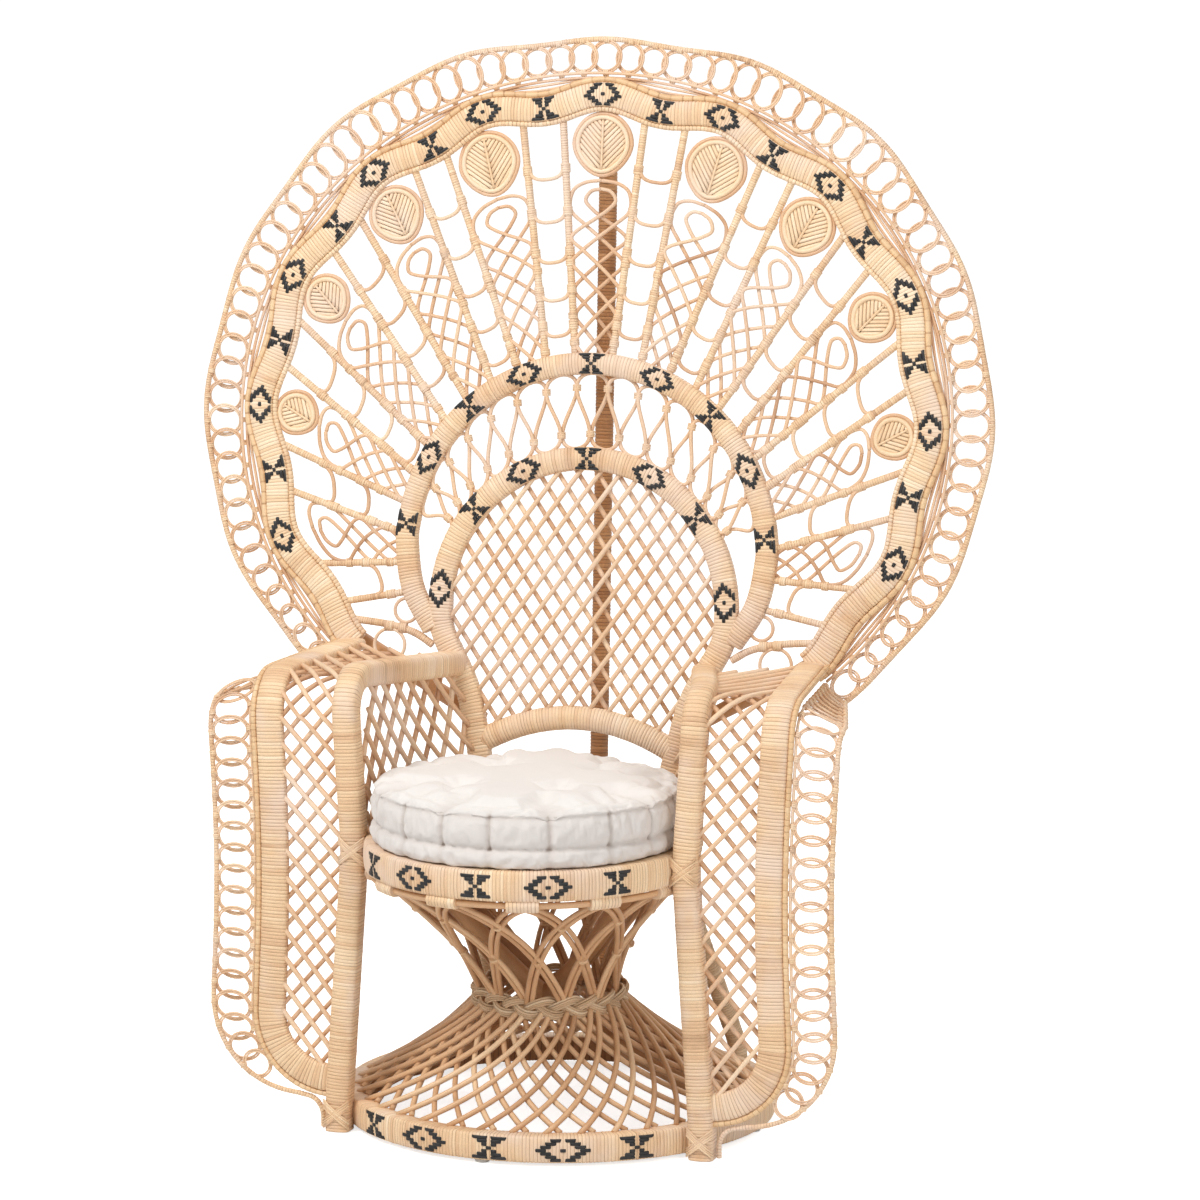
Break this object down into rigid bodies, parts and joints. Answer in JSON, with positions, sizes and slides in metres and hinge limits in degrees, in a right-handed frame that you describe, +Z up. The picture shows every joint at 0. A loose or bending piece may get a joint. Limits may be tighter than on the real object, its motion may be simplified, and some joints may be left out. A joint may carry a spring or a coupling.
{
  "type": "peacock chair",
  "caption": "Rattan peacock chair with a tall openwork fan back, lattice arms, a round seat on an hourglass base and a loose tufted cushion.",
  "frame": {"origin": "on the floor, under the middle of the chair's box", "axes": "+Z up, -Y the way the sitter faces, +X to the right of a viewer in front"},
  "size_m": [1.1716, 0.675, 1.5112],
  "materials": {
    "wrapped_rattan": "wound cane strip",
    "bare_cane": "smooth cane",
    "rattan_pole": "satin",
    "linen": "woven linen",
    "glide": "matte"
  },
  "bodies": {
    "frame": {"arm_band_left": "wrapped_rattan", "arm_band_right": "wrapped_rattan", "arm_border_left": "bare_cane", "arm_border_right": "bare_cane", "arm_lattice_left": "bare_cane", "arm_lattice_right": "bare_cane", "arm_post_left": "wrapped_rattan", "arm_post_right": "wrapped_rattan", "back_lattice": "bare_cane", "back_rail": "wrapped_rattan", "base_ring": "wrapped_rattan", "centre_pole": "rattan_pole", "cross_poles_front": "rattan_pole", "cross_poles_rear": "rattan_pole", "fan_border": "bare_cane", "foot_front": "glide", "foot_left": "glide", "foot_rear": "glide", "foot_right": "glide", "inner_arch": "wrapped_rattan", "leaf_loops_left_1": "bare_cane", "leaf_loops_left_2": "bare_cane", "leaf_loops_left_3": "bare_cane", "leaf_loops_left_4": "bare_cane", "leaf_loops_left_5": "bare_cane", "leaf_loops_middle": "bare_cane", "leaf_loops_right_1": "bare_cane", "leaf_loops_right_2": "bare_cane", "leaf_loops_right_3": "bare_cane", "leaf_loops_right_4": "bare_cane", "leaf_loops_right_5": "bare_cane", "lower_sticks": "bare_cane", "middle_arch": "wrapped_rattan", "rear_brace_left": "rattan_pole", "rear_brace_right": "rattan_pole", "rear_leg_left": "wrapped_rattan", "rear_leg_right": "wrapped_rattan", "seat_panel": "bare_cane", "seat_ring": "wrapped_rattan", "side_fill_left": "bare_cane", "side_fill_right": "bare_cane", "side_lattice_left": "bare_cane", "side_lattice_right": "bare_cane", "swag_ribs_left_1": "wrapped_rattan", "swag_ribs_left_2": "wrapped_rattan", "swag_ribs_left_3": "wrapped_rattan", "swag_ribs_left_4": "wrapped_rattan", "swag_ribs_left_5": "wrapped_rattan", "swag_ribs_left_6": "wrapped_rattan", "swag_ribs_right_1": "wrapped_rattan", "swag_ribs_right_2": "wrapped_rattan", "swag_ribs_right_3": "wrapped_rattan", "swag_ribs_right_4": "wrapped_rattan", "swag_ribs_right_5": "wrapped_rattan", "swag_ribs_right_6": "wrapped_rattan", "teardrop_chain": "bare_cane", "upper_arches": "bare_cane", "waist_braid": "bare_cane", "wavy_band": "wrapped_rattan"},
    "cushion": {"seat_cushion": "linen"}
  },
  "joints": [
    {"name": "cushion_lift", "type": "slide", "parent": "frame", "child": "cushion", "axis": [0, 0, 1], "range_m": [0, 0.35]}
  ]
}
